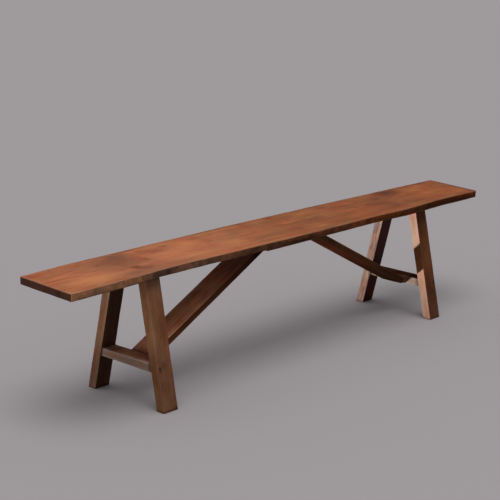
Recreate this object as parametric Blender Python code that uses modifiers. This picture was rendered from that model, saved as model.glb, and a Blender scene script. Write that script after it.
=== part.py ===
"""Country kitchen bench: a plank seat on two A-shaped trestles, stiffened by diagonal braces.

Metres, Z up. X runs along the seat and Y across it, with the front edge at -Y. The floor is
Z = 0, and the origin lies on the floor under the middle of the bench.
"""
import math

import bmesh
import bpy
from mathutils import Matrix, Vector

# Seat plank. The reaches run from the trestles' middle line to the front and back edges.
SEAT_HEIGHT = 0.450
SEAT_LENGTH = 2.165
SEAT_THICKNESS = 0.025
FRONT_REACH = 0.123
BACK_REACH = 0.145
LEFT_END_SKEW = 0.016
RIGHT_END_SKEW = 0.038
FRONT_WANE = 0.010
SEAT_ARRIS = 0.003
SEAT_CORNER_RADIUS = 0.005
WORN_CORNER_RADIUS = 0.008
SEAT_STATIONS = 28

# Trestles. A spread is the distance between the centres of a trestle's two legs.
TRESTLE_SPACING = 1.434
LEG_WIDTH = 0.062
LEG_HEAD_DEPTH = 0.037
LEG_FOOT_DEPTH = 0.034
LEFT_HEAD_SPREAD = 0.146
LEFT_FOOT_SPREAD = 0.324
RIGHT_HEAD_SPREAD = 0.134
RIGHT_FOOT_SPREAD = 0.331
LEG_ARRIS = 0.0025
LEG_TENON_WIDTH = 0.042
LEG_TENON_DEPTH = 0.018
LEG_TENON_LENGTH = 0.016

# Stretchers
STRETCHER_TOP = 0.150
STRETCHER_WIDTH = 0.057
STRETCHER_THICKNESS = 0.028
STRETCHER_ARRIS = 0.002
STRETCHER_TENON_WIDTH = 0.034
STRETCHER_TENON_THICKNESS = 0.010
STRETCHER_TENON_LENGTH = 0.020

# Braces. The drop is from the stretcher's top to the brace's top face, and the reach is from the
# middle of the bench to the place where that face meets the seat.
BRACE_WIDTH = 0.092
BRACE_THICKNESS = 0.024
BRACE_FOOT_DROP = 0.009
BRACE_HEAD_REACH = 0.142
BRACE_HEAD_BEARING = 0.022
BRACE_ARRIS = 0.002
BRACE_TENON_WIDTH = 0.060
BRACE_TENON_THICKNESS = 0.009
BRACE_TENON_LENGTH = 0.020

# Cleat between the heads of the braces
CLEAT_WIDTH = 0.092
CLEAT_THICKNESS = 0.032
CLEAT_ARRIS = 0.002

# Nails. A grip is the depth that a nail goes into the piece it holds on to.
NAIL_RADIUS = 0.0017
NAIL_POINT = 0.005
NAIL_HEAD_RADIUS = 0.0034
NAIL_HEAD_THICKNESS = 0.0013
NAIL_SIDES = 12
SEAT_NAIL_GRIP = 0.015
STRETCHER_NAIL_GRIP = 0.026
STRETCHER_NAIL_EDGE = 0.009
STRETCHER_NAIL_DROP = 0.007
BRACE_NAIL_INSET = 0.006
BRACE_NAIL_SPREAD = 0.050
CLEAT_NAIL_SPACING = 0.150
CLEAT_NAIL_SPREAD = 0.052

# Gap between pieces that touch, how far a cutter runs past what it cuts, and how near two points
# of a turned shape lie before they become one
FIT = 0.0003
OVERRUN = 0.004
SEAM = 0.0001
ARRIS_SEGMENTS = 2
CORNER_SEGMENTS = 4

# Hand-cut edges: share of the way from the left end to the right, and share of the reach or wane
FRONT_EDGE_SHARES = (
    (0.00, 1.065), (0.05, 1.020), (0.12, 0.990), (0.17, 0.945), (0.23, 0.925), (0.31, 0.965),
    (0.40, 0.985), (0.48, 1.005), (0.55, 1.020), (0.64, 1.000), (0.71, 0.990), (0.78, 1.055),
    (0.85, 0.975), (0.91, 0.950), (0.96, 0.990), (1.00, 1.000),
)
BACK_EDGE_SHARES = (
    (0.00, 0.870), (0.04, 0.905), (0.08, 0.955), (0.20, 0.965), (0.33, 1.000), (0.45, 1.015),
    (0.55, 1.000), (0.65, 0.985), (0.75, 0.950), (0.86, 0.930), (0.95, 0.895), (1.00, 0.855),
)
WANE_SHARES = (
    (0.00, 0.00), (0.13, 0.05), (0.18, 0.75), (0.26, 1.00), (0.36, 0.90), (0.44, 0.25),
    (0.55, 0.20), (0.66, 0.45), (0.80, 0.30), (0.90, 0.60), (1.00, 0.40),
)

UNDERSIDE = SEAT_HEIGHT - SEAT_THICKNESS
STRETCHER_BOTTOM = STRETCHER_TOP - STRETCHER_THICKNESS
STRETCHER_MIDDLE = STRETCHER_TOP - STRETCHER_THICKNESS / 2
X, Y = 0, 1
FRONT, BACK = -1, 1
PLACES = ((FRONT, "front"), (BACK, "back"))


class Trestle:
    """Where the two legs of one trestle stand. Distances across are from the middle line."""

    def __init__(self, name, side, head_spread, foot_spread):
        self.name = name
        self.side = side
        self.x = side * TRESTLE_SPACING / 2
        self.head_spread = head_spread
        self.foot_spread = foot_spread
        self.empty = None

    def centre(self, z):
        return self.foot_spread / 2 + (self.head_spread - self.foot_spread) / 2 * z / UNDERSIDE

    def depth(self, z):
        return LEG_FOOT_DEPTH + (LEG_HEAD_DEPTH - LEG_FOOT_DEPTH) * z / UNDERSIDE

    def inner(self, z):
        return self.centre(z) - self.depth(z) / 2

    def outer(self, z):
        return self.centre(z) + self.depth(z) / 2


class BraceProfile:
    """Side view of the right brace. The left one is the same piece turned end for end."""

    def __init__(self):
        self.foot_x = TRESTLE_SPACING / 2 - STRETCHER_WIDTH / 2 - FIT
        self.foot_top = STRETCHER_TOP - BRACE_FOOT_DROP
        self.foot_bottom = STRETCHER_BOTTOM
        self.head_x = BRACE_HEAD_REACH - BRACE_HEAD_BEARING
        self.head_top = UNDERSIDE - FIT
        self.fall = (self.head_top - self.foot_top) / (self.foot_x - BRACE_HEAD_REACH)
        self.angle = math.atan(self.fall)
        self.plumb = BRACE_THICKNESS / math.cos(self.angle)

    def lower(self, x):
        """Height of the brace's lower face at a distance from the middle of the bench."""
        return self.head_top - (x - BRACE_HEAD_REACH) * self.fall - self.plumb

    def outline(self):
        heel_x = BRACE_HEAD_REACH + (self.head_top - self.plumb - self.foot_bottom) / self.fall
        return (
            (self.head_x, self.lower(self.head_x)),
            (heel_x, self.foot_bottom),
            (self.foot_x, self.foot_bottom),
            (self.foot_x, self.foot_top),
            (BRACE_HEAD_REACH, self.head_top),
            (self.head_x, self.head_top),
        )


class Nail:
    """One nail: where it enters the wood, the way it is driven, and its length."""

    def __init__(self, entry, direction, length):
        self.entry = Vector(entry)
        self.direction = Vector(direction).normalized()
        self.length = length

    def matrix(self, offset=0.0):
        turn = self.direction.to_track_quat("-Z", "Y").to_matrix().to_4x4()
        return Matrix.Translation(self.entry + self.direction * offset) @ turn


def clear_scene():
    for item in list(bpy.data.objects):
        bpy.data.objects.remove(item, do_unlink=True)


def new_collection(name):
    collection = bpy.data.collections.new(name)
    bpy.context.scene.collection.children.link(collection)
    return collection


def linear(level):
    """One sRGB channel from 0 to 255 as the linear value that a shader takes."""
    share = level / 255
    return share / 12.92 if share <= 0.04045 else ((share + 0.055) / 1.055) ** 2.4


def new_material(name, colour, roughness, metallic=0.0):
    material = bpy.data.materials.new(name)
    material.use_nodes = True
    shader = material.node_tree.nodes["Principled BSDF"]
    rgba = [linear(level) for level in colour] + [1.0]
    shader.inputs["Base Color"].default_value = rgba
    shader.inputs["Roughness"].default_value = roughness
    shader.inputs["Metallic"].default_value = metallic
    material.diffuse_color = rgba
    return material


def to_mesh(name, shape):
    bmesh.ops.recalc_face_normals(shape, faces=shape.faces)
    mesh = bpy.data.meshes.new(name)
    shape.to_mesh(mesh)
    shape.free()
    return mesh


def add_piece(name, mesh, material, parent=None, location=(0, 0, 0)):
    """A visible piece of the bench, in the bench's collection."""
    piece = bpy.data.objects.new(name, mesh)
    if not mesh.materials:
        mesh.materials.append(material)
    bench.objects.link(piece)
    piece.parent = parent
    piece.location = location
    return piece


def add_guide(name, mesh, parent=None, location=(0, 0, 0)):
    """A shape that only cuts or joins, kept out of the bench."""
    guide = bpy.data.objects.new(name, mesh)
    cutters.objects.link(guide)
    guide.parent = parent
    guide.location = location
    guide.hide_render = True
    guide.display_type = "WIRE"
    return guide


def combine(piece, operation, guide):
    modifier = piece.modifiers.new(guide.name, "BOOLEAN")
    modifier.operation = operation
    modifier.solver = "EXACT"
    modifier.object = guide


def soften(shape, edges, radius, segments=ARRIS_SEGMENTS):
    bmesh.ops.bevel(shape, geom=edges, offset=radius, segments=segments, affect="EDGES", profile=0.5)


def block(low, high, low_size, high_size):
    """A unit cube stretched between two level sections, which may differ in size and place."""
    shape = bmesh.new()
    bmesh.ops.create_cube(shape, size=1.0)
    for vertex in shape.verts:
        middle, size = (high, high_size) if vertex.co.z > 0 else (low, low_size)
        vertex.co = (middle[0] + vertex.co.x * size[0], middle[1] + vertex.co.y * size[1], middle[2])
    return shape


def level_edges(shape, z):
    """The edges that lie wholly at one height."""
    return [edge for edge in shape.edges if all(abs(end.co.z - z) < SEAM for end in edge.verts)]


def edges_along(shape, axis, least):
    """The edges that run more than some length along one axis."""
    found = []
    for edge in shape.edges:
        first, second = edge.verts
        if abs(first.co[axis] - second.co[axis]) > least:
            found.append(edge)
    return found


def read_shares(table, share):
    """Reads a table of shares with a smooth curve through its points."""
    last = len(table) - 1
    i = max(k for k in range(last) if table[k][0] <= share)
    (start, low), (end, high) = table[i], table[i + 1]
    before, after = table[max(i - 1, 0)], table[min(i + 2, last)]
    run = end - start
    low_slope = run * (high - before[1]) / (end - before[0])
    high_slope = run * (after[1] - low) / (after[0] - start)
    u = (share - start) / run
    ease = u * u * (3 - 2 * u)
    return low * (1 - ease) + high * ease + low_slope * u * (1 - u) ** 2 - high_slope * u * u * (1 - u)


def make_seat(material):
    """One plank with hand-cut edges, ends out of square and a waney lower front arris."""
    shape = bmesh.new()
    front, back, wane = [], [], []
    for k in range(SEAT_STATIONS + 1):
        share = k / SEAT_STATIONS
        front_x = share * (SEAT_LENGTH - RIGHT_END_SKEW) - SEAT_LENGTH / 2
        back_x = share * (SEAT_LENGTH - LEFT_END_SKEW) - SEAT_LENGTH / 2 + LEFT_END_SKEW
        front_y = -FRONT_REACH * read_shares(FRONT_EDGE_SHARES, share)
        back_y = BACK_REACH * read_shares(BACK_EDGE_SHARES, share)
        front.append(shape.verts.new((front_x, front_y, 0)))
        back.append(shape.verts.new((back_x, back_y, 0)))
        wane.append(FRONT_WANE * read_shares(WANE_SHARES, share))
    ring = front + back[::-1]
    shape.faces.new(ring)
    lower = {}
    for vertex, set_back in zip(front + back, wane + [0] * len(back)):
        lower[vertex] = shape.verts.new(vertex.co + Vector((0, set_back, -SEAT_THICKNESS)))
    shape.faces.new([lower[vertex] for vertex in reversed(ring)])
    for vertex, following in zip(ring, ring[1:] + ring[:1]):
        shape.faces.new((vertex, lower[vertex], lower[following], following))
    worn = [shape.edges.get((front[-1], lower[front[-1]]))]
    plumb = [shape.edges.get((corner, lower[corner])) for corner in (front[0], back[0], back[-1])]
    soften(shape, worn, WORN_CORNER_RADIUS, CORNER_SEGMENTS)
    soften(shape, plumb, SEAT_CORNER_RADIUS)
    soften(shape, level_edges(shape, 0) + level_edges(shape, -SEAT_THICKNESS), SEAT_ARRIS)
    return add_piece("seat_plank", to_mesh("seat_plank", shape), material, location=(0, 0, SEAT_HEIGHT))


def leg_tenon(trestle, side, grow):
    """The tenon on a leg's head, in line with the leg. It is grown for its mortise."""
    low_z = UNDERSIDE - OVERRUN
    high_z = UNDERSIDE + LEG_TENON_LENGTH + grow
    size = (LEG_TENON_WIDTH + 2 * grow, LEG_TENON_DEPTH + 2 * grow)
    low = (0, side * trestle.centre(low_z), low_z)
    high = (0, side * trestle.centre(high_z), high_z)
    return to_mesh("leg_tenon", block(low, high, size, size))


def stretcher_tenon(trestle, side, grow):
    """The tenon on a stretcher's end, cut parallel to the leg. It is grown for its mortise."""
    low_z = STRETCHER_MIDDLE - STRETCHER_TENON_THICKNESS / 2 - grow
    high_z = STRETCHER_MIDDLE + STRETCHER_TENON_THICKNESS / 2 + grow
    run = OVERRUN + STRETCHER_TENON_LENGTH + grow
    size = (STRETCHER_TENON_WIDTH + 2 * grow, run)
    low = (0, side * (trestle.inner(low_z) - OVERRUN + run / 2), low_z)
    high = (0, side * (trestle.inner(high_z) - OVERRUN + run / 2), high_z)
    return to_mesh("stretcher_tenon", block(low, high, size, size))


def brace_tenon(brace, grow):
    """The tenon on the foot of the right brace. It is grown for its mortise."""
    middle_z = (brace.foot_top + brace.foot_bottom) / 2
    run = OVERRUN + BRACE_TENON_LENGTH + grow
    middle_x = brace.foot_x - OVERRUN + run / 2
    half = BRACE_TENON_THICKNESS / 2 + grow
    size = (run, BRACE_TENON_WIDTH + 2 * grow)
    low, high = (middle_x, 0, middle_z - half), (middle_x, 0, middle_z + half)
    return to_mesh("brace_tenon", block(low, high, size, size))


def make_leg(trestle, side, material):
    """A square-cut leg with level ends and a stub tenon on its head."""
    name = ("front_" if side == FRONT else "back_") + trestle.name + "_leg"
    foot_y = side * trestle.centre(0)
    head_z = UNDERSIDE - FIT
    head = (0, side * trestle.centre(head_z) - foot_y, head_z)
    shape = block((0, 0, 0), head, (LEG_WIDTH, LEG_FOOT_DEPTH), (LEG_WIDTH, trestle.depth(head_z)))
    crisp = set(level_edges(shape, head_z))
    soften(shape, [edge for edge in shape.edges if edge not in crisp], LEG_ARRIS)
    leg = add_piece(name, to_mesh(name, shape), material, trestle.empty, (0, foot_y, 0))
    combine(leg, "UNION", add_guide(name + "_tenon", leg_tenon(trestle, side, 0), trestle.empty))
    mortise = stretcher_tenon(trestle, side, FIT)
    combine(leg, "DIFFERENCE", add_guide(name + "_mortise", mortise, trestle.empty))
    return leg


def make_stretcher(trestle, material):
    """A flat rail between the two legs, with its shoulders cut to their slope."""
    name = trestle.name + "_stretcher"
    low_size = (STRETCHER_WIDTH, 2 * (trestle.inner(STRETCHER_BOTTOM) - FIT))
    high_size = (STRETCHER_WIDTH, 2 * (trestle.inner(STRETCHER_TOP) - FIT))
    shape = block((0, 0, STRETCHER_BOTTOM), (0, 0, STRETCHER_TOP), low_size, high_size)
    soften(shape, edges_along(shape, Y, trestle.inner(STRETCHER_TOP)), STRETCHER_ARRIS)
    stretcher = add_piece(name, to_mesh(name, shape), material, trestle.empty)
    for side, place in PLACES:
        tenon = add_guide(f"{name}_{place}_tenon", stretcher_tenon(trestle, side, 0), trestle.empty)
        combine(stretcher, "UNION", tenon)
    return stretcher


def make_brace_mesh(brace):
    """A flat board: its foot is cut plumb and level, and its head level and plumb."""
    shape = bmesh.new()
    near = [shape.verts.new((x, -BRACE_WIDTH / 2, z)) for x, z in brace.outline()]
    side = shape.faces.new(near)
    across = bmesh.ops.extrude_face_region(shape, geom=[side], use_keep_orig=True)
    moved = [item for item in across["geom"] if isinstance(item, bmesh.types.BMVert)]
    bmesh.ops.translate(shape, verts=moved, vec=(0, BRACE_WIDTH, 0))
    soften(shape, edges_along(shape, X, (brace.foot_x - BRACE_HEAD_REACH) / 2), BRACE_ARRIS)
    return to_mesh("brace", shape)


def make_brace(name, brace, mesh, turn, material):
    """One brace, with the tenon of its foot. The turn sends it to the left or to the right."""
    piece = add_piece(name, mesh, material)
    piece.rotation_euler.z = turn
    tenon = add_guide(name + "_tenon", brace_tenon(brace, 0))
    tenon.rotation_euler.z = turn
    combine(piece, "UNION", tenon)
    return piece


def make_cleat(brace, material):
    """The block that the heads of the braces push against, nailed under the seat."""
    length = 2 * (brace.head_x - FIT)
    high_z = UNDERSIDE - FIT
    size = (length, CLEAT_WIDTH)
    shape = block((0, 0, high_z - CLEAT_THICKNESS), (0, 0, high_z), size, size)
    soften(shape, level_edges(shape, high_z - CLEAT_THICKNESS), CLEAT_ARRIS)
    return add_piece("brace_cleat", to_mesh("brace_cleat", shape), material)


def nail_profile(length):
    """Half the outline of a wire nail, with the underside of its head at zero."""
    points = (
        (0, 0, NAIL_HEAD_THICKNESS),
        (NAIL_HEAD_RADIUS, 0, NAIL_HEAD_THICKNESS),
        (NAIL_HEAD_RADIUS, 0, 0),
        (NAIL_RADIUS, 0, 0),
        (NAIL_RADIUS, 0, NAIL_POINT - length),
        (0, 0, -length),
    )
    mesh = bpy.data.meshes.new("nail_profile")
    mesh.from_pydata(points, [(i, i + 1) for i in range(len(points) - 1)], [])
    return mesh


def drive(name, nail, profile, material, pieces):
    """Sets one turned nail in place and bores its hole in the pieces that it goes through."""
    piece = add_piece(name, profile, material)
    piece.matrix_basis = nail.matrix(-FIT)
    turned = piece.modifiers.new("turned", "SCREW")
    turned.steps = NAIL_SIDES
    turned.render_steps = NAIL_SIDES
    turned.use_merge_vertices = True
    turned.merge_threshold = SEAM
    shape = bmesh.new()
    depth = OVERRUN + nail.length + FIT
    radius = NAIL_RADIUS + FIT
    bmesh.ops.create_cone(
        shape, cap_ends=True, segments=NAIL_SIDES, radius1=radius, radius2=radius, depth=depth,
        matrix=nail.matrix(depth / 2 - OVERRUN),
    )
    hole = add_guide(name + "_bore", to_mesh(name + "_bore", shape))
    for pierced in pieces:
        combine(pierced, "DIFFERENCE", hole)


def stretcher_nail(trestle, side):
    """Driven square to the leg's outer face, near its outer arris, into the stretcher's end."""
    entry_z = STRETCHER_TOP - STRETCHER_NAIL_DROP
    lean = trestle.outer(0) - trestle.outer(UNDERSIDE)
    outward = Vector((0, side * UNDERSIDE, lean)).normalized()
    x = trestle.x + trestle.side * (LEG_WIDTH / 2 - STRETCHER_NAIL_EDGE)
    length = trestle.depth(entry_z) + STRETCHER_NAIL_GRIP
    return Nail((x, side * trestle.outer(entry_z), entry_z), -outward, length)


def brace_nail(brace, side, across):
    """Driven square to the brace's lower face, through its head and up into the seat."""
    x = brace.head_x + BRACE_NAIL_INSET
    low_z = brace.lower(x)
    length = (UNDERSIDE - low_z) / math.cos(brace.angle) + SEAT_NAIL_GRIP
    direction = (side * math.sin(brace.angle), 0, math.cos(brace.angle))
    return Nail((side * x, across * BRACE_NAIL_SPREAD / 2, low_z), direction, length)


def cleat_nail(side, across):
    """Driven straight up through the cleat into the seat."""
    low_z = UNDERSIDE - FIT - CLEAT_THICKNESS
    place = (side * CLEAT_NAIL_SPACING / 2, across * CLEAT_NAIL_SPREAD / 2, low_z)
    return Nail(place, (0, 0, 1), CLEAT_THICKNESS + SEAT_NAIL_GRIP)


def make_trestle(trestle, seat, brace):
    """Two legs, the stretcher between them and the nails at its ends."""
    trestle.empty = bpy.data.objects.new(trestle.name + "_trestle", None)
    bench.objects.link(trestle.empty)
    trestle.empty.location = (trestle.x, 0, 0)
    stretcher = make_stretcher(trestle, rail_wood)
    nails = {side: stretcher_nail(trestle, side) for side in (FRONT, BACK)}
    profile = nail_profile(nails[FRONT].length)
    for side, place in PLACES:
        leg = make_leg(trestle, side, leg_wood)
        name = leg.name + "_seat_mortise"
        combine(seat, "DIFFERENCE", add_guide(name, leg_tenon(trestle, side, FIT), trestle.empty))
        drive(f"{stretcher.name}_{place}_nail", nails[side], profile, iron, (leg, stretcher))
    socket = add_guide(trestle.name + "_brace_mortise", brace_tenon(brace, FIT))
    socket.rotation_euler.z = 0 if trestle.side > 0 else math.pi
    combine(stretcher, "DIFFERENCE", socket)


def fit_braces(brace, seat):
    """Both braces, each held to the seat by two nails through its head."""
    mesh = make_brace_mesh(brace)
    profile = nail_profile(brace_nail(brace, 1, FRONT).length)
    for name, side, turn in (("left_brace", -1, math.pi), ("right_brace", 1, 0)):
        piece = make_brace(name, brace, mesh, turn, rail_wood)
        for across, place in PLACES:
            nail = brace_nail(brace, side, across)
            drive(f"{name}_{place}_nail", nail, profile, iron, (piece, seat))


def fit_cleat(brace, seat):
    """The cleat, held to the seat by four nails."""
    cleat = make_cleat(brace, rail_wood)
    profile = nail_profile(cleat_nail(1, FRONT).length)
    for side, end in ((-1, "left"), (1, "right")):
        for across, place in PLACES:
            nail = cleat_nail(side, across)
            drive(f"cleat_{end}_{place}_nail", nail, profile, iron, (cleat, seat))


clear_scene()
bench = new_collection("kitchen_bench")
cutters = new_collection("cutters")
seat_wood = new_material("seat_wood", (166, 106, 76), 0.45)
leg_wood = new_material("leg_wood", (104, 74, 58), 0.60)
rail_wood = new_material("rail_wood", (92, 58, 42), 0.60)
iron = new_material("iron", (52, 46, 43), 0.70, 0.8)

trestles = (
    Trestle("left", -1, LEFT_HEAD_SPREAD, LEFT_FOOT_SPREAD),
    Trestle("right", 1, RIGHT_HEAD_SPREAD, RIGHT_FOOT_SPREAD),
)
brace = BraceProfile()
seat = make_seat(seat_wood)
for trestle in trestles:
    make_trestle(trestle, seat, brace)
fit_braces(brace, seat)
fit_cleat(brace, seat)
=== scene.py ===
"""Long country kitchen bench of red-brown wood on two braced trestles.

Metres, Z up, X along the seat and Y across it with the front at -Y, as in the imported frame.
"""
import math

import bpy
import numpy as np
from mathutils import Matrix, Vector


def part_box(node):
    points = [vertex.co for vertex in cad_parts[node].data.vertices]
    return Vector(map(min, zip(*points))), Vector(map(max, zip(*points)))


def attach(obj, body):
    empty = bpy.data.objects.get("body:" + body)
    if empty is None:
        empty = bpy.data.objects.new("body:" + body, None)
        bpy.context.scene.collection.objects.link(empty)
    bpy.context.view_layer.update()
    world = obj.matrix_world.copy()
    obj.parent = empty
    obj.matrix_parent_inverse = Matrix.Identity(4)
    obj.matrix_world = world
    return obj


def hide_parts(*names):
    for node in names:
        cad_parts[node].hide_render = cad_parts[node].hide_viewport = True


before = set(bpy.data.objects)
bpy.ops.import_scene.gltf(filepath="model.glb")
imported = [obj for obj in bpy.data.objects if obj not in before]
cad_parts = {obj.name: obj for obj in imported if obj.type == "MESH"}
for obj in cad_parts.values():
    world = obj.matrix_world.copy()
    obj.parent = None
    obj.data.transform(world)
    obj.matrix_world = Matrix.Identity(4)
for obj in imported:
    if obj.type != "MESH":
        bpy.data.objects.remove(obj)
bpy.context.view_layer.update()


# Seat plank
# One sawn board, 2.16 m long and about 26 cm wide, planed by hand and worn smooth. Its ends are
# sawn out of square, its front edge follows the tree a little, and the lower front arris is waney.
# It was mortised from below for the legs, and stained and waxed with the rest.

SEAT_LINE_SPACING = 0.007
# How many readings of the solid's outline, how far from its ends, and over how many it is smoothed
SEAT_READINGS, SEAT_READING_INSET, SEAT_READING_BLUR = 180, 0.045, 9
# Where across the bench the solid's slanted ends are read
SEAT_END_READINGS = (-0.10, 0.10)
SEAT_ARRIS = 0.0032
SEAT_CORNER = 0.0060
SEAT_UNEVENNESS = 0.00045
SEAT_REACH = 1.10
SEAT_RIGHT_CORNER = 0.004
SEAT_RIGHT_LEAN = 0.0025
SEAT_END_ROUNDING, SEAT_END_ROUNDING_RUN = 0.002, 0.035
# The plank is a little thicker under its front edge near the right end
SEAT_SAG, SEAT_SAG_WIDTH = 0.0028, 0.024
SEAT_SAG_SHARES = ((0.50, 0.0), (0.72, 0.5), (0.84, 1.0), (0.94, 1.0), (1.00, 0.5))
# The long edges' tone along the seat, and how dark their lower half is
SEAT_EDGE_TONES = (
    (-1.08, (200, 144, 110), 0.05), (-0.76, (192, 136, 104), 0.05), (-0.70, (112, 86, 76), 0.15),
    (-0.56, (180, 130, 104), 0.15), (-0.30, (132, 92, 68), 0.15), (-0.17, (124, 84, 62), 0.30),
    (-0.04, (124, 76, 56), 0.95), (0.12, (140, 82, 56), 0.20), (0.50, (134, 72, 34), 0.25),
    (0.72, (88, 38, 7), 0.80), (0.95, (116, 49, 11), 0.80), (1.04, (130, 70, 38), 0.40),
)
WANE_DEPTH = 0.010
WANE_SHARES = (
    (0.00, 0.00), (0.13, 0.00), (0.18, 0.30), (0.30, 0.45), (0.38, 0.45), (0.44, 0.05),
    (0.55, 0.10), (0.66, 0.10), (0.76, 0.05), (0.88, -0.15), (1.00, 0.00),
)
WANE_RAGGED = 0.38
WANE_WAVES = ((0.028, 0.6), (0.080, 1.0))
# Knocks on the front top arris: place along the seat, half their length, and depth
SEAT_KNOCKS = (
    (-0.905, 0.010, 0.0016), (-0.742, 0.018, 0.0011), (-0.505, 0.008, 0.0018),
    (-0.338, 0.014, 0.0012), (-0.118, 0.022, 0.0010), (0.064, 0.009, 0.0015),
    (0.291, 0.016, 0.0010), (0.478, 0.007, 0.0018), (0.655, 0.020, 0.0012),
    (0.880, 0.011, 0.0014), (1.002, 0.008, 0.0016),
)
KNOCK_REACH = 0.007
# Figure and stains in the top, and painted shade along its back arris: tone, middle along and across, half
# length, half width, strength
SEAT_MARKS = (
    ("amber", 0.94, 0.01, 0.20, 0.14, 0.45), ("rose", -0.55, 0.00, 0.50, 0.14, 0.30),
    ("brown", 0.64, 0.02, 0.20, 0.12, 0.10), ("brown", -0.13, 0.00, 0.17, 0.13, 0.16),
    # The four thin brown marks along the back edge, on the next two lines, are painted shade of its arris
    ("brown", -0.80, 0.138, 0.26, 0.018, 0.70), ("brown", -0.20, 0.145, 0.34, 0.016, 0.70),
    ("brown", 0.42, 0.140, 0.36, 0.016, 0.70), ("brown", 0.95, 0.128, 0.15, 0.014, 0.70),
    ("red", -1.045, 0.096, 0.044, 0.028, 0.75), ("olive", -1.020, 0.062, 0.045, 0.016, 0.45),
    ("gold", -0.925, -0.052, 0.120, 0.055, 0.60), ("brown", -0.735, 0.055, 0.130, 0.105, 0.80),
    ("smoke", -0.702, 0.098, 0.060, 0.040, 0.60), ("umber", -0.737, -0.040, 0.024, 0.024, 0.60),
    ("umber", -0.790, -0.085, 0.050, 0.020, 0.35), ("olive", -0.678, -0.010, 0.034, 0.007, 0.85),
    ("gold", -0.690, -0.026, 0.026, 0.010, 0.40), ("red", -0.655, 0.026, 0.016, 0.030, 0.70),
    ("umber", -0.643, 0.020, 0.009, 0.028, 0.75), ("red", -0.697, -0.058, 0.026, 0.014, 0.60),
    ("umber", -0.638, 0.130, 0.050, 0.014, 0.70), ("red", -0.590, 0.088, 0.040, 0.026, 0.60),
    ("brown", -0.550, 0.068, 0.055, 0.030, 0.50), ("brown", -0.492, 0.092, 0.034, 0.014, 0.60),
    ("gold", -0.560, 0.010, 0.080, 0.034, 0.35), ("gold", -0.470, -0.060, 0.110, 0.030, 0.40),
    ("gold", -0.405, 0.058, 0.062, 0.040, 0.50), ("gold", -0.270, -0.032, 0.070, 0.034, 0.55),
    ("brown", -0.330, 0.096, 0.044, 0.014, 0.42), ("smoke", -0.190, 0.045, 0.040, 0.022, 0.35),
    ("brown", -0.135, -0.050, 0.080, 0.018, 0.35), ("smoke", -0.075, 0.096, 0.045, 0.030, 0.26),
    ("plum", 0.066, 0.122, 0.030, 0.018, 0.40), ("olive", 0.012, 0.088, 0.030, 0.024, 0.60),
    ("olive", 0.036, 0.018, 0.034, 0.014, 0.50), ("umber", 0.088, 0.012, 0.044, 0.026, 0.22),
    ("umber", 0.192, 0.000, 0.070, 0.048, 0.24), ("smoke", 0.045, -0.050, 0.070, 0.014, 0.35),
    ("gold", 0.132, -0.078, 0.040, 0.016, 0.55), ("brown", 0.250, -0.085, 0.080, 0.026, 0.36),
    ("brown", 0.110, 0.092, 0.085, 0.026, 0.40), ("gold", 0.205, 0.085, 0.040, 0.020, 0.40),
    ("olive", 0.332, -0.030, 0.046, 0.024, 0.55), ("red", 0.345, 0.105, 0.030, 0.022, 0.50),
    ("olive", 0.384, 0.072, 0.036, 0.016, 0.50), ("gold", 0.480, 0.084, 0.036, 0.020, 0.55),
    ("olive", 0.436, 0.026, 0.042, 0.024, 0.34), ("red", 0.400, -0.085, 0.060, 0.022, 0.40),
    ("brown", 0.555, 0.000, 0.070, 0.034, 0.38), ("red", 0.588, 0.050, 0.042, 0.026, 0.55),
    ("umber", 0.625, 0.060, 0.018, 0.022, 0.45), ("smoke", 0.612, -0.026, 0.056, 0.026, 0.38),
    ("brown", 0.560, -0.075, 0.090, 0.024, 0.38), ("umber", 0.735, -0.068, 0.036, 0.014, 0.36),
    ("brown", 0.735, 0.096, 0.074, 0.052, 0.80), ("gold", 0.872, 0.060, 0.050, 0.030, 0.60),
    ("gold", 0.932, 0.088, 0.044, 0.022, 0.55), ("umber", 1.002, 0.116, 0.045, 0.014, 0.60),
    ("gold", 0.870, -0.010, 0.046, 0.024, 0.50), ("olive", 0.972, 0.030, 0.034, 0.018, 0.50),
    ("red", 1.020, 0.016, 0.040, 0.026, 0.50), ("red", 0.860, -0.075, 0.060, 0.022, 0.40),
    ("gold", 0.990, -0.082, 0.032, 0.018, 0.55), ("umber", 1.044, -0.088, 0.012, 0.034, 0.75),
    ("umber", 1.054, -0.020, 0.012, 0.042, 0.60), ("umber", 1.067, 0.055, 0.012, 0.042, 0.50),
    ("plum", 1.042, -0.122, 0.026, 0.018, 0.95), ("smoke", -0.700, -0.085, 0.180, 0.050, 0.45),
)
STAIN_TONES = {
    "red": (148, 74, 46), "olive": (134, 92, 48), "gold": (204, 134, 84), "umber": (116, 62, 32),
    "brown": (118, 70, 46), "smoke": (110, 74, 58), "plum": (84, 48, 38), "amber": (200, 114, 62),
    "rose": (200, 126, 98),
}
# Knots: middle along and across, half length and half width, and how dark they are
SEAT_KNOTS = (
    (0.738, 0.098, 0.030, 0.018, 0.40), (-0.737, -0.040, 0.010, 0.008, 0.18),
    (0.622, 0.058, 0.009, 0.007, 0.15), (0.690, -0.045, 0.005, 0.003, 0.30),
    (0.720, -0.065, 0.005, 0.003, 0.30),
)
# How unevenly hand tools and wear leave a board: lengths between crests, and their shares
ARRIS_WAVES = ((0.09, 0.30), (0.025, 0.15))
FACE_WAVES = ((0.13, 0.65), (0.045, 0.35))
ARRIS_WEAR_MEAN, ARRIS_WEAR_LIMITS = 0.85, (0.35, 1.35)

scene = bpy.context.scene
bench = bpy.data.collections.new("bench")
scene.collection.children.link(bench)


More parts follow.
